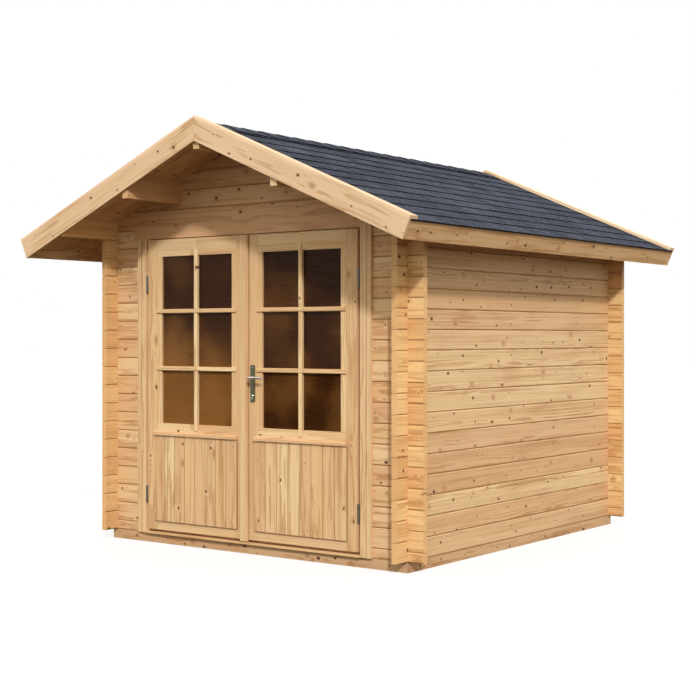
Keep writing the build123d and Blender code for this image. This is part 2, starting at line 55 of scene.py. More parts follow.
# %% [markdown]
# Sizes that the finishes follow
#
# A log's grain, its knots and its colour change from log to log, so the materials have to know where one
# log ends and the next begins. The CAD nodes give the boxes. Only what no box shows is written here: the
# pitch of the courses, the thickness of logs and boards, the roof's angle and how many boards lie side by
# side.

# %% Sizes from the frame
log_pitch = 0.114
log_thickness = 0.038
roof_angle = math.radians(23.4)
roof_board_thickness = 0.018
roof_board_count = 33
panel_board_count = 8
floor_board_count = 19
front_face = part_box("front_wall_right")[0].y
back_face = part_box("back_wall")[1].y
side_low, side_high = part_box("right_wall")
roof_low, roof_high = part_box("right_roof_boards")
panel_low, panel_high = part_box("right_panel")
floor_low, floor_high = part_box("floor_boards")
glass_low, glass_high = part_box("right_glass")
jamb_low, jamb_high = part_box("right_jamb")
shingle_low, shingle_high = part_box("right_shingles")
log_base = side_low.z
half_width = side_high.x
cosine = math.cos(roof_angle)
sine = math.sin(roof_angle)
roof_peak = roof_high.z - roof_board_thickness / cosine
ridge_up = roof_high.z * cosine - roof_board_thickness
roof_board_pitch = (roof_high.y - roof_low.y) / roof_board_count
panel_board_pitch = (panel_high.x - panel_low.x) / panel_board_count
floor_board_pitch = (floor_high.x - floor_low.x) / floor_board_count
print("log base", round(log_base, 4), "half width", round(half_width, 4))
print("roof board", round(roof_board_pitch, 4), "panel board", round(panel_board_pitch, 4),
      "floor board", round(floor_board_pitch, 4))

# %% [markdown]
# Node trees as expressions
#
# A wood shader needs dozens of Math nodes. Wiring each by hand hides the idea, so a small class wraps a
# number's socket and turns Python's operators into Math nodes: `fract * 2 - 1` reads as it is meant. The
# same class serves shaders and Geometry Nodes. Every other node is made by one method, which sets the
# node's settings first and then fills or links its sockets.


# %% Value: a number in a node tree
class Value:
    """A number socket of a node tree; arithmetic on it adds Math nodes."""

    def __init__(self, tree, socket):
        self.tree = tree
        self.socket = socket

    def math(self, operation, *others):
        inputs = dict(enumerate((self,) + others))
        return self.tree.value("ShaderNodeMath", {"operation": operation}, inputs)

    def __add__(self, other):
        return self.math("ADD", other)

    def __sub__(self, other):
        return self.math("SUBTRACT", other)

    def __mul__(self, other):
        return self.math("MULTIPLY", other)

    def __truediv__(self, other):
        return self.math("DIVIDE", other)

    def __gt__(self, other):
        return self.math("GREATER_THAN", other)

    def __lt__(self, other):
        return self.math("LESS_THAN", other)

    def __rsub__(self, other):
        return (self * -1).math("ADD", other)

    def __abs__(self):
        return self.math("ABSOLUTE")

    __radd__ = __add__
    __rmul__ = __mul__

    def floor(self):
        return self.math("FLOOR")

    def fract(self):
        return self.math("FRACT")

    def clamp(self):
        return self.tree.value("ShaderNodeClamp", {}, {"Value": self})

    def rise(self, low, high):
        """0 below low, 1 above high, smooth between; low above high makes it a fall."""
        inputs = {"Value": self, "From Min": low, "From Max": high}
        return self.tree.value("ShaderNodeMapRange", {"interpolation_type": "SMOOTHSTEP"}, inputs)


# %% Tree: one method that makes any node
class Tree:
    """A node tree of a material, the world or a Geometry Nodes group."""

    def __init__(self, nodes):
        self.nodes = nodes

    def fill(self, socket, value):
        """Link a socket to what varies, or set it to a constant."""
        if isinstance(value, Value):
            value = value.socket
        if isinstance(value, bpy.types.NodeSocket):
            self.nodes.links.new(value, socket)
        else:
            socket.default_value = value

    def node(self, kind, settings, inputs):
        made = self.nodes.nodes.new(kind)
        for name, setting in settings.items():
            setattr(made, name, setting)
        for key, value in inputs.items():
            self.fill(made.inputs[key], value)
        return made

    def value(self, kind, settings, inputs):
        return Value(self, self.node(kind, settings, inputs).outputs[0])

    def vector(self, x, y, z):
        return self.node("ShaderNodeCombineXYZ", {}, {0: x, 1: y, 2: z}).outputs[0]

    def parts(self, vector):
        """The three numbers of a vector or a colour."""
        return [Value(self, socket) for socket in
                self.node("ShaderNodeSeparateXYZ", {}, {0: vector}).outputs]

    def noise(self, x, y, z, detail=2.0, roughness=0.5):
        """Smooth noise around 0.5; a place multiplied by n has about n bumps in a metre."""
        inputs = {"Vector": self.vector(x, y, z), "Scale": 1.0, "Detail": detail, "Roughness": roughness}
        return self.value("ShaderNodeTexNoise", {}, inputs)

    def chances(self, *seeds):
        """Three random numbers from 0 to 1 that stay the same for the same seeds."""
        padded = (list(seeds) + [0.0, 0.0])[:3]
        noise = self.node("ShaderNodeTexWhiteNoise", {"noise_dimensions": "3D"},
                          {"Vector": self.vector(*padded)})
        return self.parts(noise.outputs["Color"])

    def mix(self, factor, first, second, blend="MIX"):
        """Colour between two colours, which are the Mix node's sockets 6 and 7."""
        inputs = {0: factor, 6: first, 7: second}
        settings = {"data_type": "RGBA", "blend_type": blend, "clamp_factor": True}
        return self.node("ShaderNodeMix", settings, inputs).outputs[2]


# %% Paint: the tree of one material
class Paint(Tree):
    """A material whose Principled shader is fed from expressions."""

    def __init__(self, name):
        self.material = bpy.data.materials.new(name)
        self.material.use_nodes = True
        super().__init__(self.material.node_tree)
        self.shader = self.nodes.nodes["Principled BSDF"]
        self.x, self.y, self.z = self.parts(self.node("ShaderNodeTexCoord", {}, {}).outputs["Object"])

    def set(self, **inputs):
        for name, value in inputs.items():
            self.fill(self.shader.inputs[name.replace("_", " ")], value)

    def facing(self, axis):
        """How squarely a face looks along X, Y or Z (0, 1 or 2): 1 is square, 0 is edge on."""
        return abs(self.parts(self.node("ShaderNodeNewGeometry", {}, {}).outputs["True Normal"])[axis])

    def bump(self, height, distance):
        inputs = {"Height": height, "Distance": distance, "Strength": 1.0}
        self.set(Normal=self.node("ShaderNodeBump", {}, inputs).outputs[0])


# %% Object: one way into the scene
def add_object(name, data):
    """Object in the scene that shows the mesh, light or camera given."""
    thing = bpy.data.objects.new(name, data)
    scene.collection.objects.link(thing)
    return thing


# %% Pattern: a Geometry Nodes tree with named sizes
class Pattern(Tree):
    """A tree that turns an object's mesh into a repeated shape; its inputs are sizes."""

    def __init__(self, name, sizes):
        group = bpy.data.node_groups.new(name, "GeometryNodeTree")
        super().__init__(group)
        group.interface.new_socket("Geometry", in_out="INPUT", socket_type="NodeSocketGeometry")
        for size in sizes:
            group.interface.new_socket(size, in_out="INPUT", socket_type="NodeSocketFloat")
        group.interface.new_socket("Geometry", in_out="OUTPUT", socket_type="NodeSocketGeometry")
        entry = self.node("NodeGroupInput", {}, {})
        self.mesh = entry.outputs[0]
        self.sizes = [Value(self, entry.outputs[size]) for size in sizes]

    def end(self, geometry, finish):
        """Realize the instances, give them their material and close the tree."""
        real = self.node("GeometryNodeRealizeInstances", {}, {0: geometry}).outputs[0]
        painted = self.node("GeometryNodeSetMaterial", {}, {0: real, "Material": finish}).outputs[0]
        self.node("NodeGroupOutput", {}, {0: painted})

    def bake(self, name, mesh, *sizes):
        """Object whose plain mesh is what the tree makes of the mesh given."""
        piece = add_object(name, mesh)
        modifier = piece.modifiers.new("pattern", "NODES")
        modifier.node_group = self.nodes
        sockets = [item for item in self.nodes.interface.items_tree if item.in_out == "INPUT"]
        for socket, size in zip(sockets[1:], sizes):
            modifier[socket.identifier] = float(size)
        graph = bpy.context.evaluated_depsgraph_get()
        baked = bpy.data.meshes.new_from_object(piece.evaluated_get(graph))
        piece.modifiers.remove(modifier)
        piece.data = baked
        print(name, "faces", len(baked.polygons))
        return piece


print("helpers ready")

# %% [markdown]
# Spruce
#
# Planed spruce is pale honey with darker lines where a year's late growth was cut, small dark knots, and
# boards that differ a little in tone. Painted stripes would break at the corners of a log. So the wood is
# a solid: each log gets a pith line of its own, the distance from that line counts the year rings, and
# every face cuts them, so that ends show arcs and faces show long flames. A knot is a round spot at a
# random place in each stretch of the log: most are small and dark, some are broad and brown.

# %% Spruce colours
honey = (0.71, 0.445, 0.225, 1)
straw = (0.78, 0.555, 0.31, 1)
blush = (0.66, 0.385, 0.215, 1)
late_wood = (0.43, 0.195, 0.066, 1)
sapwood = (0.90, 0.70, 0.45, 1)
knot_core = (0.085, 0.028, 0.010, 1)
knot_rim = (0.36, 0.155, 0.055, 1)
knot_pale = (0.46, 0.225, 0.085, 1)
end_grain = (0.68, 0.395, 0.190, 1)
joint_shade = (0.13, 0.062, 0.026, 1)
amber = (1.09, 1.06, 0.92, 1)
ring_spacing = 0.0042


# %% Knots
def knots(paint, along, across, piece, width, stretch, share, radius_low, radius_high, seed):
    """Share of knot at a point: its core, its rim and how far it bends the grain round it."""
    # A knot keeps off the ends of its stretch and the edges of its board, and is longer along the grain.
    cell = (along / stretch).floor()
    place = paint.chances(piece, cell, seed)
    size = paint.chances(piece, cell, seed + 4.4)
    from_along = along - (cell + 0.2 + place[0] * 0.6) * stretch
    from_across = across - (place[1] - 0.5) * (width * 0.86)
    distance = (from_along * from_along * 0.55 + from_across * from_across).math("SQRT")
    radii = distance / (radius_low + size[0] * size[0] * (radius_high - radius_low))
    there = size[1] < share
    return radii.rise(1.2, 0.8) * there, radii.rise(2.0, 0.9) * there, radii.rise(4.5, 0.8) * there


# %% Spruce shader
def spruce(name, layout, width, shade=(1, 1, 1, 1), knotty=1.0, end_axis=None, joints=None, ears=None,
           lines=()):
    """Spruce whose layout gives, from x, y and z, the places along, across and in the depth of the
    grain, from the middle of a piece, and the piece's number."""
    paint = Paint(name)
    along, across, depth, piece = layout(paint.x, paint.y, paint.z)
    roll = paint.chances(piece, 3.7)
    other = paint.chances(piece, 8.1)
    along = along + roll[0] * 61.0
    core, rim, swirl = knots(paint, along, across, piece, width, stretch=0.19, share=0.82 * knotty,
                             radius_low=0.0026, radius_high=0.0086, seed=1.3)
    pale_rim, pale_swirl = knots(paint, along, across, piece, width, stretch=0.45, share=0.42 * knotty,
                                 radius_low=0.005, radius_high=0.011, seed=2.6)[1:]

    # Year rings: the distance from the piece's own pith line, which wanders a little, counted in rings.
    wander = paint.noise(along * 0.7, across * 3.0, piece * 7.0, detail=1.0)
    pith_across = (roll[1] - 0.5) * (width * 1.5) + (wander - 0.5) * 0.06
    pith_depth = depth + (0.025 + roll[2] * 0.05)
    offset = across - pith_across
    radial = (offset * offset + pith_depth * pith_depth).math("SQRT")
    waver = paint.noise(along * 2.4, across * 26.0, depth * 26.0)
    years = radial / ring_spacing + (waver - 0.5) * 2.4 + swirl * 0.4 + pale_swirl * 0.5
    year = years.fract()
    late = year.rise(0.35, 0.92) * (1 - year.rise(0.93, 1.0))

    # Tone: each piece lies between three pale tones, and rings, bands and streaks darken it.
    streak = paint.noise(along * 1.1, across * 115.0, depth * 115.0, detail=3.0, roughness=0.6)
    broad = paint.noise(along * 0.8, across * 16.0, depth * 16.0, detail=1.0)
    cloud = paint.noise(along * 3.5, across * 9.0, piece * 3.0)
    fibre = paint.noise(along * 9.0, across * 900.0, depth * 900.0)
    tone = paint.mix(other[0].rise(0.1, 0.9), honey, straw)
    tone = paint.mix((other[1] - 0.35) * 0.9, tone, blush)
    heat = late * 0.58 + (broad - 0.45) * 0.95 + (streak - 0.5) * 1.75 + (cloud - 0.5) * 0.55 - 0.06
    tone = paint.mix(heat, tone, late_wood)
    tone = paint.mix(streak - 0.59 + (other[2] - 0.7) * 0.3, tone, sapwood)

    # Knots: broad pale ones first, then the dark ones over them.
    tone = paint.mix(pale_swirl * 0.16 + pale_rim * 0.26, tone, knot_pale)
    tone = paint.mix(pale_rim * 0.35, tone, knot_rim)
    tone = paint.mix(rim * 0.34, tone, knot_rim)
    tone = paint.mix(core * 0.97, tone, knot_core)

    # What only some pieces have: end grain, yellower ears, joints, and lines where two boards meet.
    if end_axis is not None:
        tone = paint.mix((paint.facing(end_axis) > 0.9) * 0.5, tone, end_grain)
    if ears is not None:
        tone = paint.mix(ears(paint), tone, amber, "MULTIPLY")
    if joints is not None:
        tone = paint.mix(joints(paint) * 0.60, tone, joint_shade)
    hollow = 0.0
    for line in lines:
        shut = abs(abs(paint.x) - line).rise(0.0022, 0.0008)
        tone = paint.mix(shut * 0.72, tone, joint_shade)
        hollow = shut * -1.2 + hollow
    tone = paint.mix(1.0, tone, shade, "MULTIPLY")
    paint.set(Base_Color=tone, Roughness=0.64 - late * 0.10 + core * 0.1)
    paint.bump(late * 0.35 + fibre * 0.5 - core * 0.8 + hollow, 0.0005)
    return paint.material


# %% [markdown]
# Where the grain runs
#
# Side logs run along Y and cross logs along X, half a course lower. Boards on the roof run down the
# slope, and both slopes share one layout because it reads the distance from the ridge, `abs(x)`. Stiles
# stand and rails lie, and they are told apart by where they are. The piece's number only picks its random
# draws, so each kind of piece counts from a hundred of its own, and the same piece on the other side of
# the shed has a little more added.

# %% Layouts of the logs
lintel_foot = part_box("front_gable")[0].z - 0.001
lintel_reach = jamb_high.x + 0.045
lintel_joint = log_base + 16.5 * log_pitch
side_shift = 0.0
cross_shift = 0.5


def cells(place, pitch):
    """Number of a piece, and the distance from its middle, for a place counted in pitches."""
    return place.floor(), (place.fract() - 0.5) * pitch


def course(z, shift):
    """Number of a log and the height above its middle."""
    return cells((z - log_base) / log_pitch + shift, log_pitch)


def log_groove(z, shift):
    """1 in the groove between two logs, where dust and shade gather."""
    return abs(course(z, shift)[1]).rise(log_pitch / 2 - 0.0024, log_pitch / 2 - 0.0012)


def side_logs(x, y, z):
    number, height = course(z, side_shift)
    return y, height, abs(x) - (half_width - log_thickness / 2), number + (x > 0) * 40.0


def lintel(x, y, z):
    """1 in the part of the log over the door that hangs below its course."""
    return (abs(x) < lintel_reach) * (y < 0) * (z > lintel_foot) * (z < lintel_joint + 0.05 * log_pitch)


def cross_logs(x, y, z):
    number, height = course(z, cross_shift)
    hangs = lintel(x, y, z) * (z < lintel_joint)
    return x, height - hangs * log_pitch, y, number + hangs + (y > 0) * 40.0 + 100.0


def side_joints(paint):
    return log_groove(paint.z, side_shift)


def cross_joints(paint):
    return log_groove(paint.z, cross_shift) * (1 - lintel(paint.x, paint.y, paint.z))


def side_ears(paint):
    """Where side logs run out past the cross walls: the ears are tinted lighter and yellower."""
    return (paint.y < front_face) + (paint.y > back_face)


def cross_ears(paint):
    """The same for cross logs, past the side walls."""
    return abs(paint.x) > half_width


# %% Layouts of the roof's boards
edge_board_drop = 0.03


def down_slope(x, z):
    """Place down either slope of the roof."""
    return abs(x) * cosine - z * sine


def up_slope(x, z):
    """Height square to either slope of the roof."""
    return abs(x) * sine + z * cosine


def board_joints(place, low, high):
    """1 at the joints, for a place counted in boards; low and high are shares of a board."""
    return abs(place.fract() - 0.5).rise(low, high)


def lengthways(x, y, z):
    """Purlins, which lie along Y."""
    return y, z, abs(x), (x / 0.31).floor() + 300.0


def roof_boards(x, y, z):
    number, offset = cells((y - roof_low.y) / roof_board_pitch, roof_board_pitch)
    return down_slope(x, z), offset, up_slope(x, z), number + (x > 0) * 50.0 + 400.0


def roof_joints(paint):
    return board_joints((paint.y - roof_low.y) / roof_board_pitch, 0.475, 0.49)


def barges(x, y, z):
    number = (x > 0) * 3.0 + (y > 0) * 7.0 + 500.0
    return down_slope(x, z), up_slope(x, z) - ridge_up + edge_board_drop, y, number


def eaves(x, y, z):
    return y, up_slope(x, z) - ridge_up + edge_board_drop, down_slope(x, z), (x > 0) * 3.0 + 600.0


# %% Layouts of the door
bead_width = 0.035
bar_width = 0.026
bar_edge = bar_width / 2 + 0.0005
light_low = glass_low.z + bead_width
light_high = glass_high.z - bead_width
pane_x = (glass_low.x + glass_high.x) / 2
pane_z = (glass_low.z + glass_high.z) / 2
bar_step = (light_high - light_low + bar_width) / 3


def standing(x, y, z):
    """Jambs and the meeting strip; strips of 0.15 m tell them apart."""
    return z, abs(x) - panel_high.x, y, (x > 0) * 3.0 + (abs(x) / 0.15).floor() + 700.0


def lying(x, y, z):
    """The door's head, its sill and the drip rails; layers of 0.2 m tell them apart."""
    return x, z, y, (z / 0.2).floor() + 800.0


def base_timbers(x, y, z):
    """Beams under the side walls run along Y, the rest across the shed."""
    side = abs(x) > half_width - 0.08
    number = (x > 0) * 3.0 + side * 5.0 + 1200.0
    return y * side + x * (1 - side), z - 0.03, x * side + y * (1 - side), number


def leaf_frames(x, y, z):
    """Rails lie between the stiles; both are measured from the pane's nearer edge."""
    rail = (abs(x) > glass_low.x) * (abs(x) < glass_high.x)
    along = x * rail + z * (1 - rail)
    rail_across = z - (glass_low.z - 0.04)
    stile_across = abs(x) - (glass_high.x + 0.04)
    across = rail_across * rail + stile_across * (1 - rail)
    number = (x > 0) * 3.0 + rail * ((z / 0.4).floor() + 1) * 5.0 + (abs(x) > 0.4) * 11.0 + 900.0
    return along, across, y, number


def glazing_bars(x, y, z):
    """Beads and bars: the level ones lie, the rest stand."""
    side = abs(x) - pane_x
    height = z - pane_z
    upright = abs(side) < bar_edge
    level = abs(abs(height) - bar_step / 2) < bar_edge
    ends = (abs(height) > (light_high - light_low) / 2) * (1 - upright)
    lies = (level + ends).clamp()
    along = x * lies + z * (1 - lies)
    across = height * lies + side * (1 - lies)
    number = (x > 0) * 3.0 + lies * ((z / 0.2).floor() + 1) * 5.0 + (side > 0.05) * 11.0 + upright * 23.0
    return along, across, y, number + 1300.0


def panel_boards(x, y, z):
    number, offset = cells((abs(x) - panel_low.x) / panel_board_pitch, panel_board_pitch)
    return z, offset, y, number + (x > 0) * 20.0 + 1000.0


def panel_joints(paint):
    return board_joints((abs(paint.x) - panel_low.x) / panel_board_pitch, 0.464, 0.484)


def floor_planks(x, y, z):
    number, offset = cells((x - floor_low.x) / floor_board_pitch, floor_board_pitch)
    return y, offset, z, number + 1100.0


# %% Spruce finishes
casing_line = jamb_high.x - 0.032
logs_along = spruce("spruce_side_logs", side_logs, log_pitch, end_axis=1, joints=side_joints,
                    ears=side_ears)
logs_across = spruce("spruce_cross_logs", cross_logs, log_pitch, end_axis=0, joints=cross_joints,
                     ears=cross_ears)
purlin_wood = spruce("spruce_purlins", lengthways, 0.1)
roof_wood = spruce("spruce_roof_boards", roof_boards, 0.096, joints=roof_joints)
barge_wood = spruce("spruce_barges", barges, 0.1, shade=(1.02, 1.16, 1.32, 1))
# The cap strips' pale shade is a painted highlight of strong light on their tops.
cap_wood_painted_highlight = spruce("spruce_cap_strips", barges, 0.1, shade=(1.18, 1.36, 1.66, 1), knotty=0.5)
eave_wood = spruce("spruce_eaves", eaves, 0.1)
casing_wood = spruce("spruce_casings", standing, 0.08, knotty=0.6, lines=(casing_line,))
standing_wood = spruce("spruce_standing", standing, 0.08)
lying_wood = spruce("spruce_lying", lying, 0.08)
leaf_wood = spruce("spruce_leaves", leaf_frames, 0.09, shade=(1.04, 1.10, 1.12, 1), knotty=0.6)
bar_wood = spruce("spruce_glazing_bars", glazing_bars, 0.03, shade=(1.06, 1.12, 1.12, 1), knotty=0.2)
panel_wood = spruce("spruce_panels", panel_boards, 0.084, shade=(1.03, 1.07, 1.07, 1), knotty=0.3,
                    joints=panel_joints)
floor_wood = spruce("spruce_floor", floor_planks, 0.11, shade=(0.92, 0.88, 0.84, 1))
base_wood = spruce("impregnated_base", base_timbers, 0.05, shade=(0.82, 0.77, 0.77, 1))
finishes = {
    logs_along: ("left_wall", "right_wall", "left_plate", "right_plate"),
    logs_across: ("back_wall", "back_gable", "front_wall_left", "front_wall_right", "front_gable"),
    purlin_wood: ("ridge_purlin", "left_purlin", "right_purlin"),
    roof_wood: ("left_roof_boards", "right_roof_boards"),
    barge_wood: ("front_left_barge", "front_right_barge", "back_left_barge", "back_right_barge"),
    cap_wood_painted_highlight: ("front_cap_strips", "back_cap_strips"),
    eave_wood: ("left_eave_board", "right_eave_board"),
    casing_wood: ("left_jamb", "right_jamb"),
    standing_wood: ("meeting_strip",),
    lying_wood: ("door_head", "door_sill", "left_drip", "right_drip"),
    leaf_wood: ("left_leaf_frame", "right_leaf_frame"),
    bar_wood: ("left_glazing_bars", "right_glazing_bars"),
    panel_wood: ("left_panel", "right_panel"),
    floor_wood: ("floor_boards",),
    base_wood: ("base_beams", "floor_joists"),
}
print("spruce finishes", len(finishes))

# %% [markdown]
# Granules for the shingles
#
# Bitumen shingles are covered with slate granules of several greys. Fine noise gives the grains and the
# bright specks among them, coarser noise the cloudy patches and the wash down the slope, and each tab has
# a tone of its own. The thick ends of the tabs show only their dark bitumen, which draws the courses, and
# a second, darker finish is for what shows at the bottom of the slots.

# %% Shingle shader
butt_up = 0.0263
shingle_courses = 11
course_step = (shingle_high.x - butt_up * sine) / cosine / shingle_courses
tab_width = 0.333
slate_dark = (0.009, 0.010, 0.017, 1)
slate_blue = (0.118, 0.136, 0.200, 1)
slate_speck = (0.25, 0.28, 0.37, 1)
slate_deep = (0.032, 0.037, 0.050, 1)
slate_pale = (0.17, 0.18, 0.22, 1)
bitumen = (0.010, 0.010, 0.012, 1)
slot_shade = (0.25, 0.25, 0.27, 1)


def granules(name, shade=(1, 1, 1, 1)):
    """Slate granules on bitumen; the shade multiplies their colour."""
    paint = Paint(name)
    down = down_slope(paint.x, paint.z)
    half_tab = (paint.y / (tab_width / 2)).floor()
    tab = paint.chances(half_tab, (down / course_step).floor(), (paint.x > 0) * 5.0)
    grain = paint.noise(paint.x * 190.0, paint.y * 190.0, paint.z * 190.0, detail=3.0, roughness=0.8)
    speck = paint.noise(paint.x * 80.0, paint.y * 80.0, paint.z * 80.0, roughness=0.7)
    cloud = paint.noise(down * 20.0, paint.y * 26.0, 0.0, detail=3.0, roughness=0.6)
    wash = paint.noise(down * 2.5, paint.y * 24.0, 5.0)
    share = (grain - 0.5) * 3.6 + 0.30 + (cloud - 0.45) * 0.9 + (wash - 0.5) * 0.8
    tone = paint.mix(share, slate_dark, slate_blue)
    tone = paint.mix(speck.rise(0.57, 0.70) * 0.6, tone, slate_speck)
    tone = paint.mix(tab[0] * 0.55, tone, slate_deep)
    tone = paint.mix((tab[1] - 0.6) * 0.35, tone, slate_pale)
    tone = paint.mix(paint.facing(2) < 0.7, tone, bitumen)
    tone = paint.mix(1.0, tone, shade, "MULTIPLY")
    paint.set(Base_Color=tone, Roughness=0.95, Specular_IOR_Level=0.05)
    paint.bump(grain * 0.8 + speck * 0.6, 0.0012)
    return paint.material


shingle_finish = granules("slate_granules")
slot_finish = granules("shaded_granules", slot_shade)
print("course step", round(course_step, 4))

# %% [markdown]
# Shingle tabs
#
# A shingle strip is cut into tabs, and each course starts half a tab further along, so that the slots
# never line up. One wedge is all that has to be modelled: thin at its head and thick at its foot. A
# Geometry Nodes tree counts points, turns each point's number into a row and a place in the row, and puts
# a wedge there, a little off its line as a roofer would leave it. The wedge at either end of a row is
# scaled to what is left of the roof. A flat sheet under the wedges closes the slots, in the darker finish.
# The tree's Set Material leaves an empty first slot on the baked mesh, so once the sheet is in, each face
# is told its slot and the slots are filled anew.


# %% Wedge and sheet
def closed_mesh(name, points, faces, finish=None):
    """Mesh from points and faces, its faces turned outwards."""
    mesh = bpy.data.meshes.new(name)
    mesh.from_pydata(points, [], faces)
    shape = bmesh.new()
    shape.from_mesh(mesh)
    bmesh.ops.recalc_face_normals(shape, faces=shape.faces)
    shape.to_mesh(mesh)
    shape.free()
    if finish is not None:
        mesh.materials.append(finish)
    return mesh


def prism(outline, y0, y1):
    """Points and faces of a section in XZ, drawn out along Y."""
    count = len(outline)
    points = [(x, y0, z) for x, z in outline] + [(x, y1, z) for x, z in outline]
    sides = [(i, (i + 1) % count, (i + 1) % count + count, i + count) for i in range(count)]
    return points, sides + [tuple(range(count)), tuple(range(2 * count - 1, count - 1, -1))]


def roof_point(s, p):
    """Section point at s down the right slope and p above the boards' underside."""
    return s * cosine + p * sine, roof_peak - s * sine + p * cosine


tab_foot = 0.005
tab_head = 0.0006
tab_lap = 0.012
wedge_length = course_step + tab_lap
wedge_outline = [(0, 0), (0, -tab_foot), (-wedge_length, -tab_head), (-wedge_length, 0)]
sheet_bottom = 0.0184
sheet_top = 0.0205
sheet_start = 0.004
sheet_end = course_step * shingle_courses - 0.002
sheet_outline = [roof_point(sheet_start, sheet_bottom), roof_point(sheet_start, sheet_top),
                 roof_point(sheet_end, sheet_top), roof_point(sheet_end, sheet_bottom)]

# %% Tree for the tabs
tab_slot = 0.007
least_tab = 0.02
last_inset = 0.0003
step_wobble = 0.004
lift_wobble = 0.0010
turn_wobble = 0.006
tabs = Pattern("shingle_tabs", ["Side", "Rows", "Tabs", "Tab Width", "Slot", "Row Step", "Start", "Length"])
side, rows, per_row, full_width, slot, row_step, start, length = tabs.sizes
points = tabs.node("GeometryNodePoints", {}, {"Count": rows * per_row}).outputs[0]
index = tabs.value("GeometryNodeInputIndex", {}, {})
row = ((index + 0.5) / per_row).floor()
place = index - row * per_row
luck = tabs.chances(place, row, side)
first = (place - (row * 0.5).fract()) * full_width
low = first.math("MAXIMUM", 0.0)
high = (first + full_width).math("MINIMUM", length)
span = high - low - slot
down = (row + 1) * row_step + (luck[0] - 0.5) * step_wobble
down = down.math("MINIMUM", row_step * rows - last_inset)
up = butt_up - luck[1] * lift_wobble
across_roof = (down * cosine + up * sine) * side
height = up * cosine - down * sine + roof_peak
position = tabs.vector(across_roof, start + (low + high) / 2, height)
placed = tabs.node("GeometryNodeSetPosition", {}, {0: points, "Position": position}).outputs[0]
tilt = roof_angle - math.atan(tab_foot / course_step)
turn = tabs.vector(0.0, tilt, (side < 0) * math.pi + (luck[2] - 0.5) * turn_wobble)
wedges = tabs.node("GeometryNodeInstanceOnPoints", {},
                   {"Points": placed, "Instance": tabs.mesh, "Selection": span > least_tab,
                    "Rotation": turn, "Scale": tabs.vector(1.0, span, 1.0)}).outputs[0]
tabs.end(wedges, shingle_finish)

# %% Both slopes of tabs
roof_start = shingle_low.y
roof_length = shingle_high.y - shingle_low.y
tabs_per_row = math.ceil(roof_length / tab_width) + 1
for side_sign, slope_name in ((1, "right"), (-1, "left")):
    wedge = closed_mesh("wedge", *prism(wedge_outline, -0.5, 0.5))
    shingles = tabs.bake(f"{slope_name}_shingle_tabs", wedge, side_sign, shingle_courses, tabs_per_row,
                         tab_width, tab_slot, course_step, roof_start, roof_length)
    section = [(side_sign * x, z) for x, z in sheet_outline]
    sheet = closed_mesh("sheet", *prism(section, roof_start, roof_start + roof_length))
    merged = bmesh.new()
    merged.from_mesh(shingles.data)
    tab_faces = len(merged.faces)
    merged.from_mesh(sheet)
    for number, face in enumerate(merged.faces):
        face.material_index = int(number >= tab_faces)
    merged.to_mesh(shingles.data)
    merged.free()
    shingles.data.materials.clear()
    shingles.data.materials.append(shingle_finish)
    shingles.data.materials.append(slot_finish)
    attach(shingles, "shed")
    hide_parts(f"{slope_name}_shingles")

# %% [markdown]
# Ridge caps
#
# Short pieces of shingle are bent over the ridge, and each laps the next, so that the ridge shows a fine
# saw-tooth. The bent piece is drawn once as a section with a rounded top. The tree puts it along the
# ridge, tipped by a degree or so to lift its front edge over its neighbour.

# %% One bent cap
cap_half = 0.13
cap_thickness = 0.0032
cap_exposure = 0.16
cap_lap = 0.035
cap_lift = 0.0040
cap_inset = 0.002
cap_bottom = butt_up + 0.0004


def bent(height):
    """Line of a bent cap at a height over the boards, from its right edge to its left edge."""
    right = [roof_point(cap_half, height), roof_point(0.030, height), roof_point(0.012, height - 0.0006)]
    left = [(-x, z) for x, z in reversed(right)]
    return right + [(0.0, right[-1][1] + 0.0026)] + left


lower_line = bent(cap_bottom)
upper_line = bent(cap_bottom + cap_thickness)
cap_outline = [(x, z - roof_peak) for x, z in upper_line + lower_line[::-1]]
cap = closed_mesh("bent_cap", *prism(cap_outline, 0.0, cap_exposure + cap_lap))

# %% Tree for the ridge caps
caps = Pattern("ridge_caps", ["Caps", "Exposure", "Start", "Peak", "Lift"])
cap_count, exposure, start, peak, lift = caps.sizes
points = caps.node("GeometryNodePoints", {}, {"Count": cap_count}).outputs[0]
index = caps.value("GeometryNodeInputIndex", {}, {})
luck = caps.chances(index, 2.2)
position = caps.vector((luck[0] - 0.5) * 0.003, start + index * exposure, peak + lift)
placed = caps.node("GeometryNodeSetPosition", {}, {0: points, "Position": position}).outputs[0]
turn = caps.vector((lift / exposure) * -1.0 - luck[1] * 0.004, 0.0, (luck[2] - 0.5) * 0.010)
bends = caps.node("GeometryNodeInstanceOnPoints", {},
                  {"Points": placed, "Instance": caps.mesh, "Rotation": turn}).outputs[0]
caps.end(bends, shingle_finish)

# %% The row of ridge caps
cap_low, cap_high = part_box("ridge_cap")
cap_room = cap_high.y - cap_low.y - cap_lap
cap_number = int(cap_room / cap_exposure)
cap_step = (cap_room - 2 * cap_inset) / cap_number
ridge_caps = caps.bake("ridge_caps", cap, cap_number, cap_step, cap_low.y + cap_inset, roof_peak, cap_lift)
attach(ridge_caps, "shed")
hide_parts("ridge_cap")
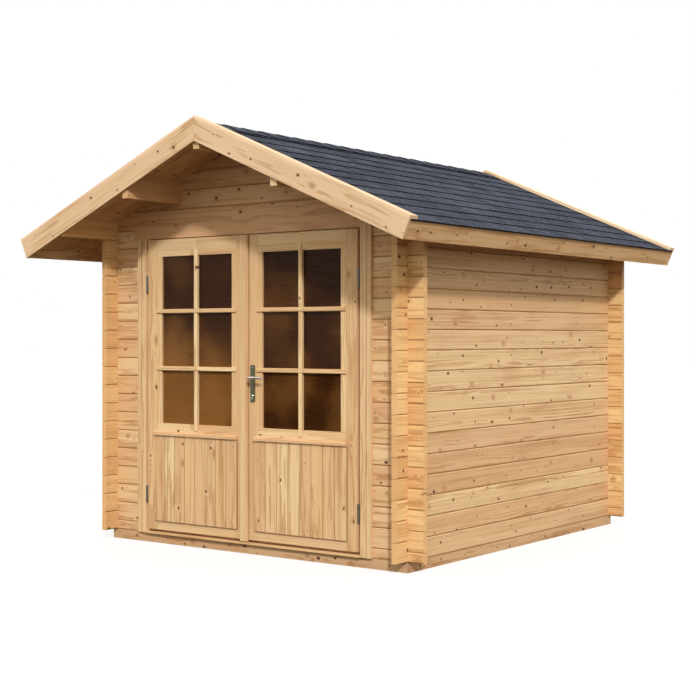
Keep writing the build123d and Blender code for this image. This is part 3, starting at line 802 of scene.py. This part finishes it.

# %% [markdown]
# Glass and metal
#
# The panes show painted shade of a dark inside, a warm brown, and painted light of a sunlit inside, lighter
# low down in the left leaf.
# The hinges are zinc plated, and the lock plates are satin nickel with a faint brushing along them. The
# lever and what sits on the plates are bright nickel.


# %% Glass and metal shaders
def pane_glass(name, shade, painted_light_colour):
    """Glass with a faint smear over painted shade of the inside that warms to painted light."""
    paint = Paint(name)
    smear = paint.noise(paint.x * 6.0, paint.y, paint.z * 4.0)
    glow = paint.noise(paint.x * 2.6, paint.y, paint.z * 2.2, detail=3.0, roughness=0.6)
    # Painted light of a sunlit inside: warm patches, most of it low in the left leaf; painted shade darkens
    # the upper panes.
    low_left = paint.z.rise(1.5, 0.8) * paint.x.rise(0.1, -0.4)
    painted_light_share = glow.rise(0.38, 0.66) * 0.5 + low_left * 0.95 - paint.z.rise(1.2, 1.6) * 0.3
    paint.set(Base_Color=paint.mix(painted_light_share, shade, painted_light_colour), Roughness=0.02 + smear * 0.03,
              Alpha=0.48 + smear * 0.10, Coat_Weight=0.05, Coat_Roughness=0.02, Specular_IOR_Level=0.10)
    return paint.material


def brushed(name, colour, rough, scale):
    """Metal with brush marks; a small scale along an axis draws them out that way."""
    paint = Paint(name)
    marks = paint.noise(paint.x * scale[0], paint.y * scale[1], paint.z * scale[2])
    paint.set(Base_Color=colour, Metallic=1.0, Roughness=rough + (marks - 0.5) * 0.25)
    paint.bump(marks, 0.0001)
    return paint.material


# The pane's two colours are the painted shade and the painted light of the inside.
glass_finish = pane_glass("pane_glass", (0.050, 0.016, 0.004, 1), (0.30, 0.125, 0.030, 1))
zinc = brushed("zinc_plate", (0.20, 0.20, 0.18, 1), 0.45, (300, 300, 60))
nickel = brushed("satin_nickel", (0.19, 0.20, 0.13, 1), 0.40, (900, 900, 40))
bright_nickel = brushed("polished_nickel", (0.78, 0.76, 0.70, 1), 0.24, (60, 900, 900))
dark_slot = brushed("keyhole_shade", (0.03, 0.03, 0.03, 1), 0.60, (300, 300, 300))
finishes[glass_finish] = ("left_glass", "right_glass")
finishes[zinc] = ("frame_hinges", "left_leaf_hinges", "right_leaf_hinges")
finishes[nickel] = ("lock_plates",)

# %% Give each CAD node its finish
for finish, nodes in finishes.items():
    for node in nodes:
        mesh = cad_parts[node].data
        mesh.materials.clear()
        mesh.materials.append(finish)
covered = {node for nodes in finishes.values() for node in nodes}
print("finished nodes", len(covered), "left for pieces", sorted(set(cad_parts) - covered))

# %% [markdown]
# Lever handle
#
# The lever is cast metal: a round neck that swells into a flat, slightly bowed grip with a rounded tip.
# It is lofted, which means that rings of points are placed along a path and joined: each ring has its own
# middle, direction, half height and half thickness. The same rings, turned over, make the lever inside.


# %% Ring and loft
def ring(middle, forward, half_height, half_thickness, sides=20):
    """Oval of points round a middle, square to the direction given, its height along Z."""
    forward = Vector(forward).normalized()
    sideways = forward.cross(Vector((0, 0, 1))).normalized()
    loop = []
    for step in range(sides):
        angle = 2 * math.pi * step / sides
        up = Vector((0, 0, math.sin(angle) * half_height))
        loop.append(Vector(middle) + (sideways * (math.cos(angle) * half_thickness) + up))
    return loop


def loft(rings):
    """Points and faces of a closed skin over rings."""
    sides = len(rings[0])
    points = [point for loop in rings for point in loop]
    faces = []
    for base in range(0, len(points) - sides, sides):
        for step in range(sides):
            after = (step + 1) % sides
            faces.append((base + step, base + after, base + sides + after, base + sides + step))
    faces.append(tuple(range(sides)))
    faces.append(tuple(range(len(points) - sides, len(points))))
    return points, faces


def joined(shapes):
    """Points and faces of several closed shapes as those of one."""
    all_points = []
    all_faces = []
    for points, faces in shapes:
        all_faces += [tuple(corner + len(all_points) for corner in corners) for corners in faces]
        all_points += points
    return all_points, all_faces


# %% Lever
plate_low, plate_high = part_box("lock_plates")
leaf_low, leaf_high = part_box("right_leaf_frame")
lever_low, lever_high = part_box("lever_handle")
handle_x = (plate_low.x + plate_high.x) / 2
lever_z = (lever_low.z + lever_high.z) / 2
lever_stand = leaf_low.y - lever_low.y - 0.006
neck_radius = 0.0078
neck_root = 0.012
bend_radius = 0.011
grip_start = 0.004
grip_length = 0.102
grip_half_height = 0.0104
grip_half_thickness = 0.0062
height_taper = 0.0040
thickness_taper = 0.0014
grip_bow = 0.0022
tip_start = 0.85
tip_least = 0.12


def lever_rings(face, outward):
    """Rings of one lever: out from the leaf, round a bend and along the grip."""
    stand = face + outward * lever_stand
    neck = ((face - outward * neck_root, neck_radius), (face + outward * 0.010, neck_radius),
            (stand - outward * 0.016, 0.0080))
    rings = [ring((handle_x, y, lever_z), (0, outward, 0), radius, radius) for y, radius in neck]
    for step, angle in enumerate((25, 50, 75)):
        bend = math.radians(angle)
        middle = (handle_x - 0.004 + 0.010 * (1 - math.cos(bend)),
                  stand - outward * (bend_radius - bend_radius * math.sin(bend)), lever_z)
        rings.append(ring(middle, (math.sin(bend), outward * math.cos(bend), 0), 0.0090 + step * 0.0006,
                          neck_radius - step * 0.0006))
    for share in (0.12, 0.3, 0.5, 0.7, 0.85, 0.94, 0.98, 1.0):
        bow = grip_bow * math.sin(share * math.pi)
        past = max(0.0, (share - tip_start) / (1 - tip_start))
        tip = max(math.sqrt(max(0.0, 1 - past ** 2)), tip_least)
        middle = (handle_x + grip_start + share * grip_length, stand - outward * bow * 0.5, lever_z + bow)
        rings.append(ring(middle, (1, 0, 0), (grip_half_height - height_taper * share) * tip,
                          (grip_half_thickness - thickness_taper * share) * tip))
    return rings


lever_shapes = [loft(lever_rings(face, outward)) for face, outward in ((leaf_low.y, -1), (leaf_high.y, 1))]
lever = add_object("cast_lever", closed_mesh("cast_lever", *joined(lever_shapes), bright_nickel))
for face in lever.data.polygons:
    face.use_smooth = True
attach(lever, "lever")
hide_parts("lever_handle")
print("lever box", [round(c, 4) for c in lever_low], [round(c, 4) for c in lever_high])

# %% [markdown]
# Lock plates' fittings
#
# Each plate carries the end of a lock cylinder with its key slot, and a countersunk screw at its top and
# foot. Screws and cylinders are turned, so one function spins a profile of radius and height about an
# axis square to the plate. The cylinder's foot and the key slot are outlines raised from the plate.

# %% Fittings on the plates
plate_faces = ((plate_low.y, -1), (plate_high.y, 1))
key_z = lever_z - 0.104
screw_inset = 0.013
screw_heights = (plate_high.z - screw_inset, plate_low.z + screw_inset)
screw_profile = [(0.0001, 0.0001), (0.0036, 0.0001), (0.0036, 0.0005), (0.0028, 0.0011), (0.0011, 0.0011),
                 (0.0010, 0.0004), (0.0001, 0.0004)]
cylinder_profile = [(0.0001, 0.0001), (0.0078, 0.0001), (0.0078, 0.0022), (0.0072, 0.0028),
                    (0.0001, 0.0028)]
foot_outline = [(-0.0045, -0.0085), (0.0045, -0.0085), (0.0045, -0.019), (0.00315, -0.0212),
                (-0.00315, -0.0212), (-0.0045, -0.019)]
slot_outline = [(-0.0011, -0.0046), (0.0011, -0.0046), (0.0011, 0.0046), (-0.0011, 0.0046)]


def turned(z, profile, sides):
    """Shapes on both plates, each a profile of (radius, height) spun round an axis along Y."""
    angles = [2 * math.pi * step / sides for step in range(sides)]
    return [loft([[Vector((handle_x + radius * math.cos(angle), face + outward * height,
                           z + radius * math.sin(angle))) for angle in angles]
                  for radius, height in profile]) for face, outward in plate_faces]


def raised(outline, low, high):
    """Shapes on both plates, each an outline in X and Z raised from one height to another."""
    return [loft([[Vector((handle_x + x, face + outward * height, key_z + z)) for x, z in outline]
                  for height in (low, high)]) for face, outward in plate_faces]


def fittings(name, shapes, finish, body):
    """One piece made of closed shapes that don't touch."""
    piece = add_object(name, closed_mesh(name, *joined(shapes), finish))
    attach(piece, body)
    print(name, "faces", len(piece.data.polygons))


screws = [shape for z in screw_heights for shape in turned(z, screw_profile, 16)]
cylinders = turned(key_z, cylinder_profile, 24)
feet = raised(foot_outline, 0.0001, 0.0026)
fittings("plate_fittings", screws + cylinders + feet, bright_nickel, "right_leaf")
fittings("key_slots", raised(slot_outline, 0.0029, 0.0032), dark_slot, "right_leaf")

# %% [markdown]
# Nails
#
# Eave boards, casings and the panels' boards are nailed. There are about sixty nail heads, each a low
# dome a few millimetres across, so a dozen faces are enough for one. The places are points of a mesh, and
# a tree turns each point into a head that faces the way the board does.

# %% Nail places
nail_radius = 0.0023
nail_rise = 0.0006
casing_reach = 0.055
panel_inset = 0.030
eave_inset = 0.08
eave_gaps = 8
panel_nails = [(panel_low.x + (number + 0.5) * panel_board_pitch, panel_low.y, z)
               for number in range(panel_board_count)
               for z in (panel_low.z + panel_inset, panel_high.z - panel_inset)]
casing_nails = [(side * (jamb_low.x + jamb_high.x + casing_reach) / 2, jamb_low.y, z) for side in (-1, 1)
                for z in (0.14, 0.52, 0.90, 1.28, 1.66, 1.84)]
eave_x, eave_z = roof_point(course_step * shingle_courses - 0.0105, -edge_board_drop)
eave_run = roof_length - 2 * eave_inset
eave_nails = [(eave_x, roof_low.y + eave_inset + number * eave_run / eave_gaps, eave_z)
              for number in range(eave_gaps + 1)]

# %% Tree for nail heads
heads = Pattern("nail_heads", ["Radius", "Height", "Turn X", "Turn Y"])
radius, rise, turn_x, turn_y = heads.sizes
dome = heads.node("GeometryNodeMeshCone", {},
                  {"Vertices": 10, "Side Segments": 1, "Radius Top": radius * 0.6, "Radius Bottom": radius,
                   "Depth": rise}).outputs[0]
spots = heads.node("GeometryNodeMeshToPoints", {}, {0: heads.mesh}).outputs[0]
studs = heads.node("GeometryNodeInstanceOnPoints", {},
                   {"Points": spots, "Instance": dome,
                    "Rotation": heads.vector(turn_x, turn_y, 0.0)}).outputs[0]
heads.end(studs, zinc)


def nail_heads(name, places, body, turn_x=math.pi / 2, turn_y=0.0):
    """Nail heads at places, on boards that face the front unless turned."""
    mesh = bpy.data.meshes.new(name)
    mesh.from_pydata(places, [], [])
    piece = heads.bake(name, mesh, nail_radius, nail_rise, turn_x, turn_y)
    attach(piece, body)


def mirrored(places):
    """The same places on the other side of the shed."""
    return [(-x, y, z) for x, y, z in places]


nail_heads("casing_nails", casing_nails, "shed")
nail_heads("right_panel_nails", panel_nails, "right_leaf")
nail_heads("left_panel_nails", mirrored(panel_nails), "left_leaf")
nail_heads("right_eave_nails", eave_nails, "shed", 0.0, math.pi / 2 + roof_angle)
nail_heads("left_eave_nails", mirrored(eave_nails), "shed", 0.0, -math.pi / 2 - roof_angle)

# %% [markdown]
# Floor, light and camera
#
# A pale floor keeps the shed's shadow. A pale, faintly warm sky gives much of the light, so the shade
# under the roof stays soft, and one broad sun comes from the right of the door, about a third of the way
# up, so that the eaves still draw their shadow on the gable. The camera stands level a little below eye
# height on the right of the door, and a small shift frames the shed without tilting it, which keeps its
# corners upright.


# %% Floor
floor_white = (0.90, 0.90, 0.90, 1)
floor_bounce = (0.06, 0.045, 0.025, 1)


def pale_floor(reach):
    """Floor that the camera sees white with the shed's shadow, and that throws little light back."""
    corners = [(-reach, -reach, 0), (reach, -reach, 0), (reach, reach, 0), (-reach, reach, 0)]
    mesh = bpy.data.meshes.new("studio_floor")
    mesh.from_pydata(corners, [], [(0, 1, 2, 3)])
    floor = add_object("studio_floor", mesh)
    paint = Paint("pale_floor")
    rays = Value(paint, paint.node("ShaderNodeLightPath", {}, {}).outputs["Is Camera Ray"])
    paint.set(Base_Color=paint.mix(rays, floor_bounce, floor_white), Roughness=1.0)
    glow = paint.node("ShaderNodeEmission", {}, {"Strength": 1.0}).outputs[0]
    mixed = paint.node("ShaderNodeMixShader", {}, {0: rays * 0.84, 1: paint.shader.outputs[0], 2: glow})
    paint.fill(paint.nodes.nodes["Material Output"].inputs[0], mixed.outputs[0])
    mesh.materials.append(paint.material)


pale_floor(reach=40.0)


# %% World and sun
def sky(strength, tint):
    """World that lights at a strength and tint, but is seen as plain white, also in metal and glass."""
    world = bpy.data.worlds.new("pale_sky")
    world.use_nodes = True
    scene.world = world
    tree = Tree(world.node_tree)
    rays = tree.node("ShaderNodeLightPath", {}, {})
    seen = Value(tree, rays.outputs["Is Camera Ray"])
    for name in ("Is Glossy Ray", "Is Transmission Ray"):
        seen = seen.math("MAXIMUM", rays.outputs[name])
    background = world.node_tree.nodes["Background"]
    tree.fill(background.inputs["Color"], tree.mix(seen, tint, (1, 1, 1, 1)))
    tree.fill(background.inputs["Strength"], seen * (1 - strength) + strength)


sky(strength=1.12, tint=(1.0, 0.94, 0.80, 1))
sun_travel = Vector((-0.575, 0.615, -0.545))
sun = add_object("key_sun", bpy.data.lights.new("key_sun", "SUN"))
sun.data.energy = 2.3
sun.data.angle = math.radians(4.0)
sun.rotation_euler = sun_travel.to_track_quat("-Z", "Y").to_euler()
print("sun height in degrees", round(math.degrees(math.asin(-sun_travel.normalized().z)), 1))

# %% Camera
camera = add_object("camera", bpy.data.cameras.new("camera"))
camera.location = (5.306, -7.304, 1.277)
camera.rotation_euler = (math.radians(90), 0, math.radians(36.61))
camera.data.lens = 71.5
camera.data.sensor_width = 36
camera.data.shift_y = -0.0169
scene.camera = camera
scene.view_settings.view_transform = "Standard"
